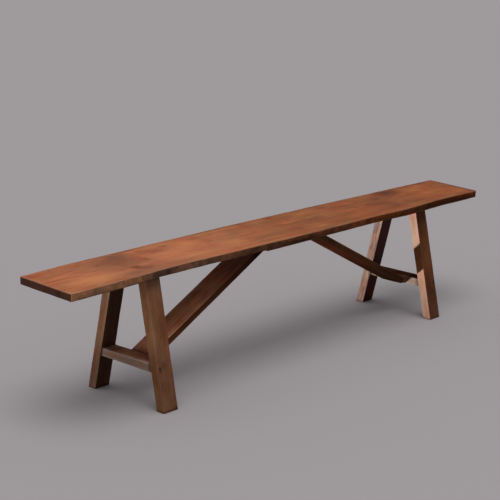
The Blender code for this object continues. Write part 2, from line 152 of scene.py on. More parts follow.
def cut(node, axis, at):
    """Lowest and highest corner of the outline in which a plane cuts a solid of the frame."""
    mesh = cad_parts[node].data
    points, edges = np.empty(len(mesh.vertices) * 3), np.empty(len(mesh.edges) * 2, int)
    mesh.vertices.foreach_get("co", points)
    mesh.edges.foreach_get("vertices", edges)
    ends = points.reshape(-1, 3)[edges.reshape(-1, 2)]
    run = ends[:, 1] - ends[:, 0]
    crossing = (ends[:, 0, axis] - at) * (ends[:, 1, axis] - at) < 0
    start, run = ends[crossing, 0], run[crossing]
    hits = start + run * ((at - start[:, axis]) / run[:, axis])[:, None]
    return hits.min(0), hits.max(0)


def mesh_lines(half, spacing, arris):
    """Where the mesh's lines cross one side of a board, closer together near its arrises."""
    near = arris * np.array((0, 0.15, 0.35, 0.6, 1.0, 1.6))
    count = max(2, round(2 * (half - near[-1]) / spacing) + 1)
    middle = np.linspace(near[-1] - half, half - near[-1], count)
    return np.concatenate((near[:-1] - half, middle, half - near[-2::-1]))


def board_skin(lines):
    """Points and outward faces of a board's skin, from its mesh lines along, across and through."""
    count = [len(line) for line in lines]
    places = np.indices(count).reshape(3, -1).T
    on_skin = ((places == 0) | (places == np.array(count) - 1)).any(1)
    number = np.full(len(places), -1)
    number[on_skin] = np.arange(on_skin.sum())
    number = number.reshape(count)
    faces = []
    for axis in range(3):
        for end in (0, count[axis] - 1):
            side = np.take(number, end, axis)
            side = side.T if axis == 1 else side
            loop = [side[:-1, :-1], side[1:, :-1], side[1:, 1:], side[:-1, 1:]]
            faces.append(np.stack(loop if end else loop[::-1], -1).reshape(-1, 4))
    points = np.stack([line[places[on_skin, k]] for k, line in enumerate(lines)], -1)
    return points, np.concatenate(faces)


def waviness(points, length, seed):
    """Smooth unevenness between about -1 and 1, with its crests about one length apart."""
    random = np.random.default_rng(seed)
    total = np.zeros(len(points))
    for _ in range(8):
        way = random.normal(size=3)
        way *= 2 * math.pi / (length * random.uniform(0.7, 1.7) * np.linalg.norm(way))
        total += np.sin(points @ way + random.uniform(0, 2 * math.pi))
    return total / 4


def waves(points, kinds, seed):
    """Unevenness of several lengths together, each given as its length and its share."""
    return sum(share * waviness(points, length, seed + k) for k, (length, share) in enumerate(kinds))


def soften(points, half, radius):
    """Rounds a block's arrises by a radius given for each point."""
    inner = np.clip(points, radius[:, None] - half, half - radius[:, None])
    reach = points - inner
    return inner + reach * (np.abs(reach).max(1) / np.linalg.norm(reach, axis=1))[:, None]


def outward(points, faces):
    """Unit normals at a mesh's points."""
    corners = points[faces]
    face = np.cross(corners[:, 2] - corners[:, 0], corners[:, 3] - corners[:, 1])
    total = np.zeros_like(points)
    for k in range(4):
        np.add.at(total, faces[:, k], face)
    return total / np.linalg.norm(total, axis=1, keepdims=True)


def along_board(places, shade):
    """A shade for each point: one for all, or rows that start with a place along the board."""
    steps = shade if isinstance(shade[0], tuple) else ((0, *shade),)
    stations, *shares = zip(*steps)
    return np.stack([np.interp(places, stations, share) for share in shares], -1)


def carry(mesh, kind, field, **values):
    """Gives the points of a mesh named values of their own."""
    for label, value in values.items():
        mesh.attributes.new(label, kind, "POINT").data.foreach_set(field, np.ravel(value))


def make_board(name, node, half, place, material, arris, spacing, seed,
               unevenness=0.0002, extra_lines=(), finish=None, shade=(1, 1, 1),
               side_shades=(), grime_and_shade_ends=(0, 0), flaked_sides=()):
    """A hand-finished board: a block with worn arrises, put in its place and left a bit uneven.

    Its mesh carries timber coordinates, so that the grain follows each piece of wood, and what its
    material reads: painted light and shade, with some of the wood's own tone, for the whole board and
    for single sides, given as axis, side and shade, each of which may change along the board, how far
    dirt and painted shade reach from its two ends, and the sides where the finish has flaked. The extra
    lines are heights at which its cuts turn a corner.
    """
    half = np.array(half)
    lines = [mesh_lines(half[k], spacing, arris) for k in range(3)]
    lines[2] = np.unique(np.round(np.concatenate((lines[2], extra_lines)), 6))
    points, faces = board_skin(lines)
    random = np.random.default_rng(seed)
    to_edge = np.sort(half - np.abs(points), axis=1)[:, 1]
    is_end = np.isclose(np.abs(points[:, 0]), half[0]).astype(float)
    worn = ARRIS_WEAR_MEAN + waves(points, ARRIS_WAVES, seed)
    timber = soften(points, half, arris * np.clip(worn, *ARRIS_WEAR_LIMITS))
    where = place(timber)
    normals = outward(where, faces)
    where = where + normals * (unevenness * waves(where, FACE_WAVES, seed + 2))[:, None]
    if finish:
        where = finish(where)
    mesh = bpy.data.meshes.new(name)
    mesh.from_pydata(where.tolist(), [], faces.tolist())
    mesh.shade_smooth()
    shift = random.uniform((-3, -0.02, -0.01), (3, 0.02, 0.01))
    carry(mesh, "FLOAT_VECTOR", "vector", timber=timber + shift)
    # Painted light and shade, with some of the wood's own tone, for the whole board and its sides
    shades = np.ones((len(points), 4))
    along = points[:, 0] / half[0]
    shades[:, :3] *= along_board(along, shade)
    for axis, side, side_shade in side_shades:
        on_side = np.isclose(points[:, axis] * side, half[axis])
        shades[on_side, :3] *= along_board(along[on_side], side_shade)
    carry(mesh, "FLOAT_COLOR", "color", shade=shades)
    # Darker towards the ends by the given reaches: dirt, and painted shade where other parts shade them
    grime, flaked = np.zeros(len(points)), np.zeros(len(points))
    for side, grime_and_shade_reach in zip((-1, 1), grime_and_shade_ends):
        if grime_and_shade_reach:
            grime = np.maximum(grime, 1 - (half[0] - points[:, 0] * side) / grime_and_shade_reach)
    for axis, side in flaked_sides:
        flaked[np.isclose(points[:, axis] * side, half[axis])] = 1
    carry(mesh, "FLOAT", "value", to_edge=to_edge, end_grain=is_end, grime=grime, flaked=flaked)
    mesh.materials.append(material)
    board = bpy.data.objects.new(name, mesh)
    bench.objects.link(board)
    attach(board, "root")
    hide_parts(node)
    return board


def linear(colour):
    """A colour from 0 to 255 as the linear colour that a shader takes."""
    shares = [level / 255 for level in colour]
    return [s / 12.92 if s <= 0.04045 else ((s + 0.055) / 1.055) ** 2.4 for s in shares] + [1.0]


def fill(tree, item, inputs):
    """Sets a node's inputs to values or joins them to other nodes."""
    for name, value in inputs.items():
        if isinstance(value, bpy.types.NodeSocket):
            tree.links.new(value, item.inputs[name])
        else:
            item.inputs[name].default_value = value


def add(tree, kind, inputs=None, **settings):
    """A node with its settings and its inputs."""
    item = tree.nodes.new(kind)
    for name, value in settings.items():
        setattr(item, name, value)
    fill(tree, item, inputs or {})
    return item


def maths(tree, operation, *values):
    return add(tree, "ShaderNodeMath", dict(enumerate(values)), operation=operation).outputs[0]


def times(tree, first, second):
    return maths(tree, "MULTIPLY", first, second)


def swing(tree, noise, share, base):
    """A base value, moved by a share of how far a noise lies from its middle, one half."""
    return maths(tree, "MULTIPLY_ADD", maths(tree, "SUBTRACT", noise, 0.5), share, base)


def stretched(tree, vector, scale):
    return add(tree, "ShaderNodeVectorMath", {0: vector, 1: scale}, operation="MULTIPLY").outputs[0]


def cloud(tree, vector, scale, detail=2.0, roughness=0.5, output=0):
    """Noise over a stretched vector: output 0 is a value, output 1 a colour."""
    inputs = {"Vector": stretched(tree, vector, scale), "Scale": 1.0, "Detail": detail,
              "Roughness": roughness}
    return add(tree, "ShaderNodeTexNoise", inputs).outputs[output]


def ease(tree, value, start, end, low=0.0, high=1.0):
    """Goes smoothly from low to high as a value goes from start to end."""
    inputs = {"Value": value, "From Min": start, "From Max": end, "To Min": low, "To Max": high}
    return add(tree, "ShaderNodeMapRange", inputs, interpolation_type="SMOOTHSTEP").outputs[0]


def tint(tree, share, under, over, blend="MIX"):
    item = add(tree, "ShaderNodeMix", {0: share, 6: under, 7: over}, data_type="RGBA", blend_type=blend)
    return item.outputs[2]


def wash(tree, mask, colour, tone, strength=1.0, blend="MIX"):
    """Lays a tone, written from 0 to 255, over a colour where a mask is 1."""
    share = mask if strength == 1.0 else times(tree, mask, strength)
    return tint(tree, share, colour, linear(tone), blend)


def banded(tree, value, bands):
    """Colour and alpha of a ramp through bands, each given as its place and its colour."""
    ramp = add(tree, "ShaderNodeValToRGB", {0: value})
    steps = ramp.color_ramp.elements
    while len(steps) < len(bands):
        steps.new(0.5)
    for k, (place, colour) in enumerate(bands):
        steps[k].position, steps[k].color = place, colour
    return ramp.outputs


def new_group(name, vectors, values, results):
    """An empty node group with named inputs, vectors and then values, and named results."""
    tree = bpy.data.node_groups.new(name, "ShaderNodeTree")
    for in_out, kind, labels in (
            ("INPUT", "Vector", vectors), ("INPUT", "Float", values), ("OUTPUT", "Float", results)):
        for label in labels:
            tree.interface.new_socket(label, in_out=in_out, socket_type="NodeSocket" + kind)
    return tree, tree.nodes.new("NodeGroupInput").outputs, tree.nodes.new("NodeGroupOutput")


# Growth rings round a pith that lies beside the board, with fibres, resin flecks and soft clouds
grain, given, result = new_group(
    "board_grain", ("Timber",), ("Pith Side", "Pith Depth", "Ring Width", "Sway", "Swell"),
    ("Late Wood", "Ring Tone", "Fibre", "Streak", "Fleck", "Mottle", "Relief"),
)
timber = given["Timber"]
along = add(grain, "ShaderNodeSeparateXYZ", {0: timber}).outputs
slow = cloud(grain, timber, (1.3, 3.0, 3.0), output=1)
slow = add(grain, "ShaderNodeSeparateXYZ", {0: slow}).outputs
side = swing(grain, slow[0], given["Sway"], maths(grain, "SUBTRACT", along[1], given["Pith Side"]))
depth = swing(grain, slow[1], given["Sway"], maths(grain, "SUBTRACT", along[2], given["Pith Depth"]))
squares = maths(grain, "MULTIPLY_ADD", side, side, times(grain, depth, depth))
radius = maths(grain, "ADD", maths(grain, "SQRT", squares), given["Swell"])
ripple = cloud(grain, timber, (7.0, 30.0, 30.0))
turns = swing(grain, ripple, 1.0, maths(grain, "DIVIDE", radius, given["Ring Width"]))
year = maths(grain, "FRACT", turns)
year_tone = add(grain, "ShaderNodeTexWhiteNoise", {1: maths(grain, "FLOOR", turns)},
                noise_dimensions="1D").outputs[0]
late = times(grain, ease(grain, year, 0.30, 0.88), ease(grain, year, 0.90, 1.0, 1.0, 0.0))
late = times(grain, late, ease(grain, year_tone, 0.0, 1.0, 0.45, 1.0))
fibre = cloud(grain, timber, (16.0, 760.0, 760.0), 3.0, 0.6)
streak = cloud(grain, timber, (3.2, 120.0, 120.0), 3.0, 0.55)
fleck = ease(grain, cloud(grain, timber, (75.0, 1500.0, 1500.0), 1.0), 0.64, 0.74)
mottle = cloud(grain, timber, (7.5, 19.0, 19.0), 4.0, 0.58)
relief = maths(grain, "MULTIPLY_ADD", late, 0.45, times(grain, fibre, 0.55))
relief = maths(grain, "MULTIPLY_ADD", streak, 0.35, relief)
relief = maths(grain, "MULTIPLY_ADD", fleck, -0.45, relief)
fill(grain, result, {"Late Wood": late, "Ring Tone": year_tone, "Fibre": fibre, "Streak": streak,
                     "Fleck": fleck, "Mottle": mottle, "Relief": relief})

# An oval patch with a ragged edge: 1 in its middle, 0 outside
patch, given, result = new_group(
    "ragged_patch", ("Place", "Middle", "Size"), ("Ragged", "Core"), ("Mask", "Distance"),
)
offset = add(patch, "ShaderNodeVectorMath", {0: given["Place"], 1: given["Middle"]}, operation="SUBTRACT")
shares = add(patch, "ShaderNodeVectorMath", {0: offset.outputs[0], 1: given["Size"]}, operation="DIVIDE")
distance = add(patch, "ShaderNodeVectorMath", {0: shares.outputs[0]}, operation="LENGTH").outputs["Value"]
rag = cloud(patch, given["Place"], (26.0, 95.0, 95.0), 3.0, 0.6)
distance = swing(patch, rag, given["Ragged"], distance)
fill(patch, result, {"Mask": ease(patch, distance, 1.15, given["Core"]), "Distance": distance})

# Wear: the paler line where an arris is rubbed, and the wider zone that hands and cloths polish
wear, given, result = new_group("arris_wear", ("Place",), ("To Edge", "Reach"), ("Worn", "Rubbed"))
coarse = cloud(wear, given["Place"], (18.0, 18.0, 18.0), 4.0, 0.65)
coarse = maths(wear, "SUBTRACT", coarse, 0.45)
shift = times(wear, times(wear, coarse, 0.8), given["Reach"])
edge = maths(wear, "MULTIPLY_ADD", shift, 6.0, given["To Edge"])
fill(wear, result, {
    "Worn": ease(wear, edge, given["Reach"], 0.0),
    "Rubbed": ease(wear, edge, times(wear, given["Reach"], 6.0), 0.0),
})


def place_group(tree, group, **inputs):
    """Puts a node group in a material, with its inputs set or joined."""
    named = {label.replace("_", " "): value for label, value in inputs.items()}
    return add(tree, "ShaderNodeGroup", named, node_tree=group).outputs


def own(tree, label, output="Fac"):
    """A value that the board's mesh carries."""
    return add(tree, "ShaderNodeAttribute", attribute_name=label).outputs[output]


def knot_masks(tree, flat_place, knots):
    """How far the knots swell the growth rings, then their cores, their halos and their own rings."""
    swell, cores, halos, rings = 0.0, 0.0, 0.0, 0.0
    for x, y, half_length, half_width, darkness in knots:
        spot = place_group(tree, patch, Place=flat_place, Middle=(x, y, 0.0),
                           Size=(half_length, half_width, 1.0), Ragged=0.35, Core=0.55)
        core = times(tree, spot["Mask"], darkness)
        halo = ease(tree, spot["Distance"], 3.4, 0.7)
        ring = maths(tree, "FRACT", times(tree, spot["Distance"], 4.0))
        swell = maths(tree, "MULTIPLY_ADD", halo, half_width * 1.6, swell)
        cores = maths(tree, "MAXIMUM", cores, core)
        halos = maths(tree, "MAXIMUM", halos, halo)
        rings = maths(tree, "MAXIMUM", rings, times(tree, ring, core))
    return swell, cores, halos, rings


def figured(tree, timber, figure, tones, contrast):
    """The wood's own colour: its tones spread by late wood, fibres, mottle and streaks."""
    late_share, fibre_share, mottle_share, streak_share = contrast
    tone = swing(tree, figure["Mottle"], 2 * mottle_share, 0.62)
    tone = maths(tree, "MULTIPLY_ADD", figure["Late Wood"], -late_share, tone)
    tone = swing(tree, figure["Fibre"], 2 * fibre_share, tone)
    tone = swing(tree, figure["Streak"], 2 * streak_share, tone)
    tone = maths(tree, "MULTIPLY_ADD", figure["Fleck"], -0.16, tone)
    colour = banded(tree, tone, [(k / (len(tones) - 1), linear(t)) for k, t in enumerate(tones)])[0]
    hue = ease(tree, cloud(tree, timber, (9.0, 21.0, 21.0), 3.0, 0.55), 0.36, 0.64)
    hue = tint(tree, hue, linear((255, 234, 218)), linear((243, 250, 238)))
    return tint(tree, 1.0, colour, hue, "MULTIPLY")


def tone_seat_edges(tree, colour, position, end_grain):
    """Tones the seat's long edges along the bench, with a ragged darker band low on them where the tones give
    a dark share.
    """
    place = add(tree, "ShaderNodeSeparateXYZ", {0: position}).outputs
    level = place[2]
    share_along = maths(tree, "MULTIPLY_ADD", place[0], 0.5 / SEAT_REACH, 0.5)
    bands = [(0.5 + 0.5 * x / SEAT_REACH, linear(tone)[:3] + [dark]) for x, tone, dark in SEAT_EDGE_TONES]
    edge_tone, dark_share = banded(tree, share_along, bands)
    below_top = ease(tree, level, seat_high.z - 0.0012, seat_high.z - 0.0042)
    under = ease(tree, level, seat_low.z + 0.0030, seat_low.z + 0.0006)
    on_edge = times(tree, below_top, maths(tree, "SUBTRACT", 1.0, end_grain))
    on_edge = times(tree, on_edge, maths(tree, "MULTIPLY_ADD", under, -1.0, 1.0))
    colour = wash(tree, under, colour, (190, 172, 162), blend="MULTIPLY")
    colour = tint(tree, times(tree, on_edge, 0.94), colour, edge_tone)
    patchy = ease(tree, cloud(tree, position, (24.0, 24.0, 34.0), 3.0, 0.6), 0.36, 0.64)
    patchy = tint(tree, patchy, (0.64, 0.74, 0.70, 1.0), (1.36, 1.24, 1.16, 1.0))
    colour = tint(tree, on_edge, colour, patchy, "MULTIPLY")
    ragged = swing(tree, cloud(tree, position, (26.0, 26.0, 60.0), 4.0, 0.62), 0.030, level)
    dark_lower_band = ease(tree, ragged, seat_high.z - 0.0085, seat_high.z - 0.0165)
    dark_lower_band = times(tree, times(tree, dark_lower_band, dark_share), on_edge)
    colour = wash(tree, dark_lower_band, colour, (66, 42, 26))
    split = cloud(tree, position, (95.0, 95.0, 38.0), 4.0, 0.65)
    split = times(tree, ease(tree, split, 0.52, 0.68, 0.0, 0.30), below_top)
    return wash(tree, split, colour, (60, 34, 24)), below_top


def wood(name, tones, contrast, ring_width, pith, sway, roughness, shine, worn_tone, wear_reach,
         end_tone, worn_share=0.8, rubbed_share=0.25, knots=(), marks=(), stains=(), tone_edges=None):
    """Stained and waxed softwood. The tones go from its darkest to its palest streaks."""
    material = bpy.data.materials.new(name)
    material.use_nodes = True
    tree = material.node_tree
    position = add(tree, "ShaderNodeTexCoord").outputs["Object"]
    flat_place = stretched(tree, position, (1.0, 1.0, 0.0))
    timber, end_grain = own(tree, "timber", "Vector"), own(tree, "end_grain")

    swell, cores, halos, knot_rings = knot_masks(tree, flat_place, knots)
    figure = place_group(tree, grain, Timber=timber, Pith_Side=pith[0], Pith_Depth=pith[1],
                         Ring_Width=ring_width, Sway=sway, Swell=swell)
    colour = figured(tree, timber, figure, tones, contrast)

    # Chips out of the finish, the iron's stains round nails, marks and knots
    chips = cloud(tree, timber, (13.0, 85.0, 85.0), 5.0, 0.66)
    chips = times(tree, ease(tree, chips, 0.50, 0.57, 0.0, 0.75), own(tree, "flaked"))
    colour = wash(tree, chips, colour, (96, 62, 48))
    for middle in stains:
        spot = place_group(tree, patch, Place=position, Middle=middle, Size=NAIL_STAIN, Ragged=0.5, Core=0.0)
        colour = wash(tree, spot["Mask"], colour, (46, 34, 30), 0.7)
    for kind, x, y, half_length, half_width, strength in marks:
        size = (half_length * 1.15, half_width * 1.15, 1.0)
        spot = place_group(tree, patch, Place=flat_place, Middle=(x, y, 0.0), Size=size, Ragged=1.3, Core=0.1)
        colour = wash(tree, spot["Mask"], colour, STAIN_TONES[kind], strength)
    if knots:
        colour = wash(tree, halos, colour, STAIN_TONES["brown"], 0.45)
        colour = wash(tree, cores, colour, (88, 50, 34))
        colour = wash(tree, knot_rings, colour, (52, 28, 20), 0.45)

    # Wear along the arrises, end grain, dirt, dirt and painted shade at the board's ends, and the board's
    # painted light and shade over all of it
    rub = place_group(tree, wear, Place=position, To_Edge=own(tree, "to_edge"), Reach=wear_reach)
    colour = wash(tree, rub["Rubbed"], colour, worn_tone, rubbed_share)
    colour = wash(tree, rub["Worn"], colour, worn_tone, worn_share)
    colour = wash(tree, end_grain, colour, end_tone, 0.85)
    roughening = [(figure["Fleck"], 0.12), (end_grain, 0.18), (rub["Rubbed"], -0.05)]
    if tone_edges:
        colour, below_top = tone_edges(tree, colour, position, end_grain)
        roughening.append((below_top, 0.25))
    grime = cloud(tree, position, (9.0, 13.0, 11.0), 5.0, 0.62)
    colour = wash(tree, ease(tree, grime, 0.55, 0.85, 0.0, 0.35), colour, (70, 46, 34), blend="MULTIPLY")
    # Darker towards the board's ends: dirt, and painted shade where other parts shade them
    grime_and_shade_at_ends = ease(tree, swing(tree, grime, 1.6, own(tree, "grime")), 0.05, 0.95, 0.0, 0.80)
    colour = wash(tree, grime_and_shade_at_ends, colour, (150, 132, 126), blend="MULTIPLY")
    # Painted light and shade, with some of the wood's own tone, multiplied over all of it
    colour = tint(tree, 1.0, colour, own(tree, "shade", "Color"), "MULTIPLY")

    scuffs = cloud(tree, position, (30.0, 90.0, 90.0), 4.0, 0.6)
    rough = swing(tree, scuffs, 0.22, roughness)
    for mask, change in roughening:
        rough = maths(tree, "MULTIPLY_ADD", mask, change, rough)
    height = maths(tree, "MULTIPLY_ADD", grime, 0.5, figure["Relief"])
    if knots:
        height = maths(tree, "MULTIPLY_ADD", cores, -0.5, height)
    bump = add(tree, "ShaderNodeBump", {"Strength": 0.55, "Distance": 0.00035, "Height": height})
    fill(tree, tree.nodes["Principled BSDF"], {
        "Base Color": colour, "Roughness": rough, "Normal": bump.outputs[0], "IOR": 1.45,
        "Specular IOR Level": shine,
    })
    return material


seat_low, seat_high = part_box("seat_plank")
seat_wood = wood(
    "seat_wood", ((92, 47, 32), (138, 76, 51), (170, 103, 71), (192, 125, 87), (208, 149, 109)),
    contrast=(0.22, 0.22, 0.33, 0.30), ring_width=0.0055, pith=(0.015, -0.055), sway=0.085,
    roughness=0.48, shine=0.08, worn_tone=(176, 132, 104), wear_reach=0.0030, end_tone=(55, 43, 40),
    knots=SEAT_KNOTS, marks=SEAT_MARKS, tone_edges=tone_seat_edges,
)

seat_half = (seat_high - seat_low) / 2
stations = np.linspace(seat_low.x + SEAT_READING_INSET, seat_high.x - SEAT_READING_INSET, SEAT_READINGS)
outlines = np.array([[corner[1] for corner in cut("seat_plank", 0, x)] for x in stations])
blur = np.hanning(SEAT_READING_BLUR) / np.hanning(SEAT_READING_BLUR).sum()
front_line, back_line = (
    np.convolve(np.pad(line, SEAT_READING_BLUR // 2, "edge"), blur, "valid") for line in outlines.T)
left_ends, right_ends = (
    [cut("seat_plank", 1, y)[end][0] for y in SEAT_END_READINGS] for end in (0, 1))
right_ends[0] += SEAT_RIGHT_LEAN


def on_end(places, y):
    """Where the slanted line of an end runs, from its places at the two readings."""
    first, last = SEAT_END_READINGS
    return places[0] + (y - first) * ((places[1] - places[0]) / (last - first))


def place_seat(points):
    """Puts the seat's block between its uneven edges and skewed ends, and undercuts its front."""
    share_along = points[:, 0] / (2 * seat_half.x) + 0.5
    share_across = points[:, 1] / (2 * seat_half.y) + 0.5
    share_up = points[:, 2] / (2 * seat_half.z) + 0.5
    x = seat_low.x + share_along * 2 * seat_half.x
    for _ in range(2):
        front = np.interp(x, stations, front_line)
        back = np.interp(x, stations, back_line)
        y = front + share_across * (back - front)
        left, right = on_end(left_ends, y), on_end(right_ends, y)
        x = left + share_along * (right - left)
    run = np.stack((x, 0 * x, 0 * x), -1)
    ragged = 1 + WANE_RAGGED * waves(run, WANE_WAVES, 5)
    wane = WANE_DEPTH * np.interp(share_along, *zip(*WANE_SHARES)) * np.clip(ragged, 0.1, 1.9)
    y = y + wane * (1 - share_up) * (1 - share_across)
    is_right_front = (points[:, 0] > 0) & (points[:, 1] < 0)
    radius = np.where(is_right_front, SEAT_RIGHT_CORNER, SEAT_CORNER)
    limit = np.array((seat_half.x, seat_half.y)) - radius[:, None]
    reach = points[:, :2] - np.clip(points[:, :2], -limit, limit)
    length = np.maximum(np.linalg.norm(reach, axis=1), 1e-9)
    pull = reach * (np.abs(reach).max(1) / length - 1)[:, None]
    near_end = np.clip((points[:, 0] - seat_half.x) / SEAT_END_ROUNDING_RUN + 1, 0, 1)
    round_end = SEAT_END_ROUNDING * near_end ** 2 * (1 - share_up) ** 2
    sag = SEAT_SAG * np.interp(share_along, *zip(*SEAT_SAG_SHARES)) * (1 - share_up)
    sag *= np.clip(1 - share_across * 2 * seat_half.y / SEAT_SAG_WIDTH, 0, 1) ** 2
    z = seat_low.z + share_up * 2 * seat_half.z - sag
    return np.stack((x + pull[:, 0] - round_end, y + pull[:, 1], z), -1)


def knock_seat(points):
    """Presses the small knocks into the front top arris."""
    front = np.interp(points[:, 0], stations, front_line)
    near = np.hypot(points[:, 1] - front, points[:, 2] - seat_high.z) / KNOCK_REACH
    for x, half_length, depth in SEAT_KNOCKS:
        share = np.exp(-near ** 2 - ((points[:, 0] - x) / half_length) ** 2)
        points = points + share[:, None] * np.array((0, 0.6 * depth, -0.8 * depth))
    return points


# Shades along the seat go from its left end at -1 to its right end at 1
SEAT_TOP_SHADE = (
    (-0.85, 0.92, 0.91, 0.89), (0.00, 0.90, 0.87, 0.77), (0.55, 0.89, 0.79, 0.62),
    (0.80, 0.96, 0.83, 0.64), (1.00, 0.95, 0.86, 0.70),
)
SEAT_RIGHT_END_SHADE = ((0.974, 1.00, 1.00, 1.00), (1.000, 0.82, 0.78, 0.74))
make_board(
    "seat", "seat_plank", seat_half, place_seat, seat_wood, SEAT_ARRIS, SEAT_LINE_SPACING,
    seed=11, unevenness=SEAT_UNEVENNESS, finish=knock_seat, grime_and_shade_ends=(0, 0.014),
    shade=SEAT_RIGHT_END_SHADE,
    # Painted light: the right end and the back edge are lightened where little light reaches them. The top is
    # toned along the seat.
    side_shades=((0, 1, (1.7, 1.5, 1.4)), (1, 1, (1.5, 1.45, 1.4)), (2, 1, SEAT_TOP_SHADE)),
)


# Legs
# Four square-cut pieces of about 62 x 35 mm, splayed across the bench only and cut level at both
# ends. Each stands in a blind mortise under the seat. The finish is rubbed through along the arrises.

LEG_ARRIS = 0.0026
LEG_LINE_SPACING = 0.009
LEG_READINGS = (0.03, 0.40)
# How far dirt and painted shade reach up from the foot and down from the head under the seat
LEG_GRIME_AND_SHADE = (0.012, 0.020)
JOINT_GAP = 0.0003
# The iron's dark stain round a nail's head, and how far it has run down
NAIL_STAIN, NAIL_STAIN_DROP = (0.009, 0.016, 0.014), 0.003

stretcher_nail_places = []
for place_name in (
    "left_stretcher_front", "left_stretcher_back", "right_stretcher_front", "right_stretcher_back",
):
    nail_low, nail_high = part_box(place_name + "_nail")
    middle = (nail_low + nail_high) / 2
    head_y = nail_low.y if "front" in place_name else nail_high.y
    stretcher_nail_places.append((middle.x, head_y, middle.z - NAIL_STAIN_DROP))

leg_wood = wood(
    "leg_wood", ((62, 37, 23), (104, 68, 43), (140, 95, 63), (166, 120, 85), (188, 146, 108)),
    contrast=(0.12, 0.16, 0.50, 0.13), ring_width=0.0048, pith=(0.045, -0.035), sway=0.040,
    roughness=0.52, shine=0.13, worn_tone=(168, 132, 108), wear_reach=0.0026, end_tone=(74, 52, 42),
    worn_share=0.35, rubbed_share=0.12, stains=stretcher_nail_places,
)


def slanted(node, low, high):
    """Middle and size of a piece across its height, and its two slanted edges as they rise."""
    (low_near, low_far), (high_near, high_far) = cut(node, 2, low), cut(node, 2, high)

    def edges(z):
        rise = (z - low) / (high - low)
        return [a[1] + rise * (b[1] - a[1]) for a, b in ((low_near, high_near), (low_far, high_far))]

    return (low_near[0] + low_far[0]) / 2, low_far - low_near, edges


def make_leg(node, seed, shade, side_shades, flaked_sides):
    """A leg from the floor to the seat, splayed as its solid is."""
    middle_x, size, edges = slanted(node, *LEG_READINGS)
    half = ((seat_low.z - JOINT_GAP) / 2, size[0] / 2, size[1] / 2)

    def place(points):
        z = points[:, 0] + half[0]
        near, far = edges(z)
        share = 0.5 + points[:, 2] / (2 * half[2])
        return np.stack((middle_x + points[:, 1], near + share * (far - near), z), -1)

    make_board(node + "_wood", node, half, place, leg_wood, LEG_ARRIS, LEG_LINE_SPACING, seed,
               shade=shade, side_shades=side_shades, grime_and_shade_ends=LEG_GRIME_AND_SHADE, flaked_sides=flaked_sides)


# A side is given as the board's own axis and direction: 1 is along the bench, 2 across it. Shades
# along a leg go from its foot at -1 to its head at 1. They are mostly painted light and shade: sides
# that face the other leg are darkened as shaded, the front right leg's front too, lit outer sides are
# lightened, the right legs' left sides most, and the front right leg's left side has a painted shadow
# of the brace a little above its middle. The back right leg's back side is warmed against the bluish beam.
FRONT_LEFT_SHADE = (
    (-0.90, 0.76, 0.72, 0.70), (-0.30, 0.90, 0.90, 0.96), (0.15, 1.10, 1.09, 1.08),
    (0.55, 1.03, 0.93, 0.90), (1.00, 1.25, 1.38, 1.56),
)
BACK_LEFT_SHADE = (
    (-0.90, 0.66, 0.64, 0.66), (-0.40, 0.70, 0.62, 0.59), (0.08, 1.38, 1.16, 1.03),
    (0.45, 1.19, 1.21, 1.17), (0.70, 1.28, 1.26, 1.35),
)
BACK_LEFT_INNER_SHADE = ((-0.90, 0.60, 0.54, 0.62), (0.08, 0.35, 0.36, 0.48), (0.50, 0.22, 0.21, 0.26))
FRONT_RIGHT_SHADE = (
    (-0.90, 0.71, 0.69, 0.76), (-0.45, 0.69, 0.65, 0.63), (-0.05, 0.95, 0.86, 0.80),
    (0.45, 0.96, 0.81, 0.75), (0.75, 0.82, 0.79, 0.70), (0.95, 0.76, 0.60, 0.56),
)
FRONT_RIGHT_LEFT_SHADE = (
    (-0.90, 1.15, 1.15, 1.24), (-0.40, 1.05, 1.15, 1.38), (0.10, 0.85, 0.68, 0.60),
    (0.36, 0.85, 0.98, 1.20), (0.75, 1.25, 1.42, 1.90),
)
BACK_RIGHT_LEFT_SHADE = (
    (-0.90, 1.20, 1.45, 2.10), (-0.50, 1.15, 1.38, 1.85), (0.06, 0.92, 1.10, 1.46),
    (0.30, 1.20, 1.45, 1.84), (0.63, 1.78, 2.30, 2.90),
)
DARK_INNER_SHADE = (0.60, 0.60, 0.60)
for place_name, seed, shade, side_shades, flaked_sides in (
    ("front_left", 21, FRONT_LEFT_SHADE, ((2, 1, DARK_INNER_SHADE), (2, -1, (1.20, 1.16, 1.40))), ()),
    ("back_left", 27, BACK_LEFT_SHADE, ((2, -1, BACK_LEFT_INNER_SHADE), (1, -1, (1.34, 1.60, 2.20))), ()),
    ("front_right", 33, FRONT_RIGHT_SHADE,
     ((2, 1, DARK_INNER_SHADE), (2, -1, (0.82, 0.68, 0.62)), (1, -1, FRONT_RIGHT_LEFT_SHADE)), ()),
    ("back_right", 41, (0.84, 0.78, 0.78),
     ((2, -1, (0.38, 0.09, 0.03)), (2, 1, (1.15, 0.92, 0.74)), (1, -1, BACK_RIGHT_LEFT_SHADE)), ((1, -1),)),
):
    make_leg(place_name + "_leg", seed, shade, side_shades, flaked_sides)


# Stretchers
# A flat rail low between the two legs of each trestle, its ends cut to the legs' slope and held by
# a stub tenon and a nail at each end. Darker than the legs, with dirt and painted shade at its ends.

STRETCHER_ARRIS = 0.0024
# How far dirt and painted shade reach in from each end, where the stretcher meets the legs
STRETCHER_GRIME_AND_SHADE = (0.018, 0.018)
STRETCHER_READING_INSET = 0.004
RAIL_LINE_SPACING = 0.008

rail_wood = wood(
    "rail_wood", ((54, 31, 22), (94, 58, 40), (128, 82, 58), (154, 106, 78), (178, 132, 102)),
    contrast=(0.14, 0.16, 0.48, 0.16), ring_width=0.0042, pith=(0.030, -0.040), sway=0.045,
    roughness=0.74, shine=0.02, worn_tone=(158, 122, 100), wear_reach=0.0026, end_tone=(60, 40, 32),
)


